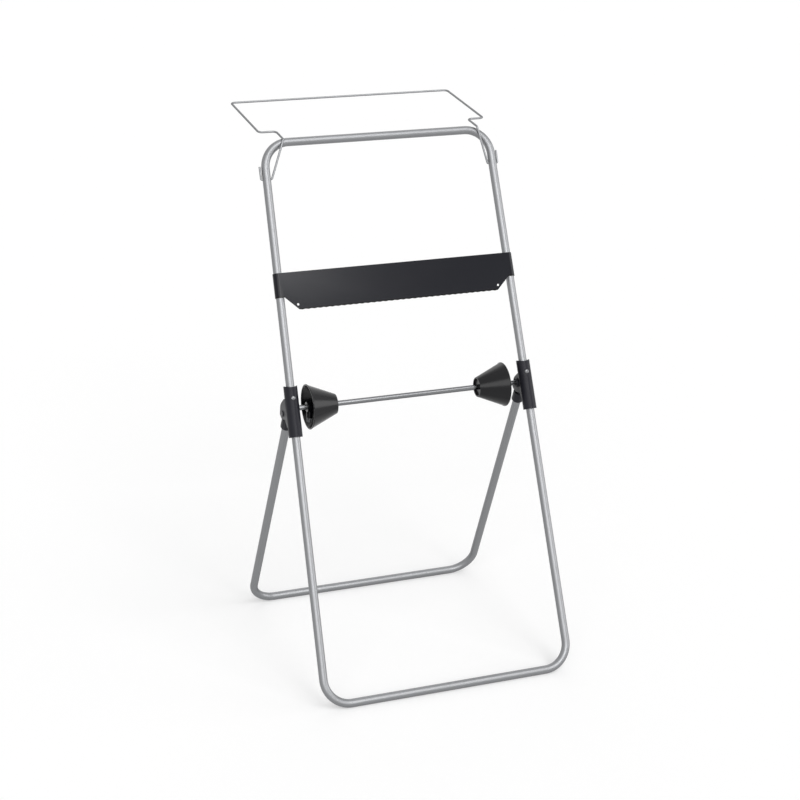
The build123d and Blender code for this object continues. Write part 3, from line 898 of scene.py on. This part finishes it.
class MouldCollars(bpy.types.Operator):
    """Mould the two stop collars"""

    bl_idname = "roll_stand.mould_collars"
    bl_label = "Mould stop collars"

    def execute(self, context):
        rod_play = 0.00008
        bore_r = context.scene.stand_sizes.rod_d / 2 + rod_play
        half = 0.006
        ring_r = 0.010
        lug_r = 0.006
        thread_r = 0.0026
        lug_start = 0.007
        lug_end = 0.0215
        edge = 0.0006
        ring_line = [(-half, bore_r), (-half, ring_r), (half, ring_r), (half, bore_r)]
        lug_line = [(lug_start, thread_r), (lug_start, lug_r), (lug_end, lug_r), (lug_end, thread_r)]
        for side, hand in hands:
            at = collar_point(side, hand)
            ring = turned("ring", ring_line, along_x(side, at), sides=64, edge=edge, hollow=True)
            lug = turned("lug", lug_line, along_z(at, down=True), sides=48, edge=edge, hollow=True)
            collar = merged(f"moulded_collar_{hand}", [ring, lug])
            dress(smooth(collar), "gloss", f"collar_{hand}", f"stop_collar_{hand}")
            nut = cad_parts[f"collar_nut_{hand}"]
            nut.data.materials.clear()
            nut.data.materials.append(finish("hardware"))
        return {"FINISHED"}


class TurnThumbScrews(bpy.types.Operator):
    """Turn and knurl the two thumb screws"""

    bl_idname = "roll_stand.turn_thumb_screws"
    bl_label = "Turn thumb screws"

    def execute(self, context):
        sizes = context.scene.stand_sizes
        tip = 0.0054
        tip_bevel = 0.0005
        thread_r = 0.0025
        head_start = 0.0219
        head_end = 0.0299
        head_bevel = 0.0006
        core_r = 0.0056
        line = [
            (tip, 0), (tip, thread_r - tip_bevel), (tip + tip_bevel, thread_r), (head_start, thread_r),
            (head_start, core_r - head_bevel), (head_start + head_bevel, core_r),
            (head_end - head_bevel, core_r), (head_end, core_r - head_bevel), (head_end, 0),
        ]

        # One ridge of the knurl, rooted in the head
        ridge_inset = 0.0008
        root_r = core_r - 0.0004
        crest_r = 0.0060
        ridge_share = 0.8
        half_width = pi * core_r / sizes.knurl_ridges * ridge_share
        points = [(along, y, out) for along in (head_start + ridge_inset, head_end - ridge_inset)
                  for y, out in ((-half_width, root_r), (half_width, root_r), (0, crest_r))]
        faces = [(0, 1, 2), (5, 4, 3), (0, 3, 4, 1), (1, 4, 5, 2), (2, 5, 3, 0)]
        for side, hand in hands:
            place = along_z(collar_point(side, hand), down=True)
            body = turned("body", line, place, sides=48, edge=0.0003)
            ridge = new_piece("ridge", points, faces=faces)
            knurl = grow(
                ridge, ring_tree(), {"Count": sizes.knurl_ridges, "Finish": finish("hardware")})
            knurl.data.transform(place)
            screw = merged(f"knurled_screw_{hand}", [body, knurl])
            dress(smooth(screw), "hardware", f"screw_{hand}", f"thumb_screw_{hand}")
        return {"FINISHED"}


class CapLegs(bpy.types.Operator):
    """Mould the two caps on the leg's top ends"""

    bl_idname = "roll_stand.cap_legs"
    bl_label = "Mould leg caps"

    def execute(self, context):
        for _, hand in hands:
            mould(f"leg_cap_{hand}", f"moulded_cap_{hand}", "rear_leg")
        return {"FINISHED"}


def seen(tree):
    """1 for rays that show a surface to the camera, directly or in a reflection, and 0 for others."""
    rays = add_node(tree, "ShaderNodeLightPath").outputs
    shown = add_node(
        tree, "ShaderNodeMath", {0: rays["Is Camera Ray"], 1: rays["Is Glossy Ray"]}, operation="ADD")
    through = add_node(
        tree, "ShaderNodeMath", {0: shown.outputs["Value"], 1: rays["Is Transmission Ray"]},
        operation="ADD", use_clamp=True)
    return through.outputs["Value"]


def studio_paper():
    """Matt pale paper that looks white and still takes the stand's shadow."""
    glow_level = 0.205
    paper = bpy.data.materials.new("Pale studio floor")
    paper.use_nodes = True
    tree = paper.node_tree
    tree.nodes.clear()
    matt = add_node(tree, "ShaderNodeBsdfDiffuse", {"Color": (0.8, 0.8, 0.8, 1)})
    shine = add_node(tree, "ShaderNodeMath", {0: seen(tree), 1: glow_level}, operation="MULTIPLY")
    glow = add_node(tree, "ShaderNodeEmission", {"Strength": shine.outputs["Value"]})
    both = add_node(
        tree, "ShaderNodeAddShader", {0: matt.outputs["BSDF"], 1: glow.outputs["Emission"]})
    add_node(tree, "ShaderNodeOutputMaterial", {"Surface": both.outputs["Shader"]})
    return paper


def studio_world():
    """White surroundings that light the stand with half of what they show."""
    world = bpy.data.worlds.new("Studio")
    world.use_nodes = True
    tree = world.node_tree
    tree.nodes.clear()
    level = add_node(tree, "ShaderNodeMapRange", {"Value": seen(tree), "To Min": 0.5, "To Max": 1.0})
    sky = add_node(
        tree, "ShaderNodeBackground", {"Color": (1, 1, 1, 1), "Strength": level.outputs["Result"]})
    add_node(tree, "ShaderNodeOutputWorld", {"Surface": sky.outputs["Background"]})
    return world


class SetStage(bpy.types.Operator):
    """Set the floor, the studio light and the camera"""

    bl_idname = "roll_stand.set_stage"
    bl_label = "Set stage"

    def execute(self, context):
        scene = context.scene
        scene.view_settings.view_transform = "Standard"

        # A floor so wide that its end can't be seen
        far = 40
        corners = [(-far, -far, 0), (far, -far, 0), (far, far, 0), (-far, far, 0)]
        floor = new_piece("floor", corners, faces=[(0, 1, 2, 3)])
        floor.data.materials.append(studio_paper())
        scene.world = studio_world()

        # Soft lamps by their bearing, height, width and strength: the key at the right of the camera,
        # one over it, one far right for the cones, one high for the rails and one behind
        for name, bearing, height, spread, strength in (
                ("key_lamp", -84, 28, 20, 0.6), ("front_lamp", -114, 25, 38, 0.8),
                ("side_lamp", -25, 8, 44, 1.0), ("top_lamp", -70, 55, 36, 0.75),
                ("back_lamp", 75, 40, 40, 0.25)):
            turn, tilt = radians(bearing), radians(height)
            way = Vector((cos(turn) * cos(tilt), sin(turn) * cos(tilt), sin(tilt)))
            lamp = bpy.data.lights.new(name, "SUN")
            lamp.angle = radians(spread)
            lamp.energy = strength
            source = bpy.data.objects.new(name, lamp)
            source.rotation_euler = (-way).to_track_quat("-Z", "Y").to_euler()
            scene.collection.objects.link(source)

        # The photo's view
        aim = Vector((0.3283, 0.8895, -0.3178))
        lens = bpy.data.cameras.new("photo_camera")
        lens.lens = 83.43
        lens.sensor_width = 36
        camera = bpy.data.objects.new("photo_camera", lens)
        camera.location = (-1.1960, -3.2802, 1.6549)
        camera.rotation_euler = aim.to_track_quat("-Z", "Y").to_euler()
        scene.collection.objects.link(camera)
        scene.camera = camera
        return {"FINISHED"}


operators = (
    BendTubes, BendHoop, FoldPlate, MouldBrackets, SetFasteners, TurnSpindle, MouldCones, MouldCollars,
    TurnThumbScrews, CapLegs, SetStage,
)


class StandPanel(bpy.types.Panel):
    """Sizes, colours and making steps of the stand"""

    bl_idname = "VIEW3D_PT_roll_stand"
    bl_label = "Roll stand"
    bl_space_type = "VIEW_3D"
    bl_region_type = "UI"
    bl_category = "Roll stand"

    def draw(self, context):
        for group in (context.scene.stand_sizes, context.scene.stand_colours):
            for name in group.__annotations__:
                self.layout.prop(group, name)
        for operator in operators:
            self.layout.operator(operator.bl_idname)


classes = (StandSizes, StandColours, *operators, StandPanel)


def register():
    """Register the classes and hang the settings on the scene."""
    for kind in classes:
        bpy.utils.register_class(kind)
    bpy.types.Scene.stand_sizes = PointerProperty(type=StandSizes)
    bpy.types.Scene.stand_colours = PointerProperty(type=StandColours)


def unregister():
    """Take the settings off the scene and drop the classes."""
    del bpy.types.Scene.stand_colours
    del bpy.types.Scene.stand_sizes
    for kind in reversed(classes):
        bpy.utils.unregister_class(kind)


def main():
    """Make every piece and the stage."""
    register()
    for operator in operators:
        group, name = operator.bl_idname.split(".")
        getattr(getattr(bpy.ops, group), name)()


if __name__ == "__main__":
    main()
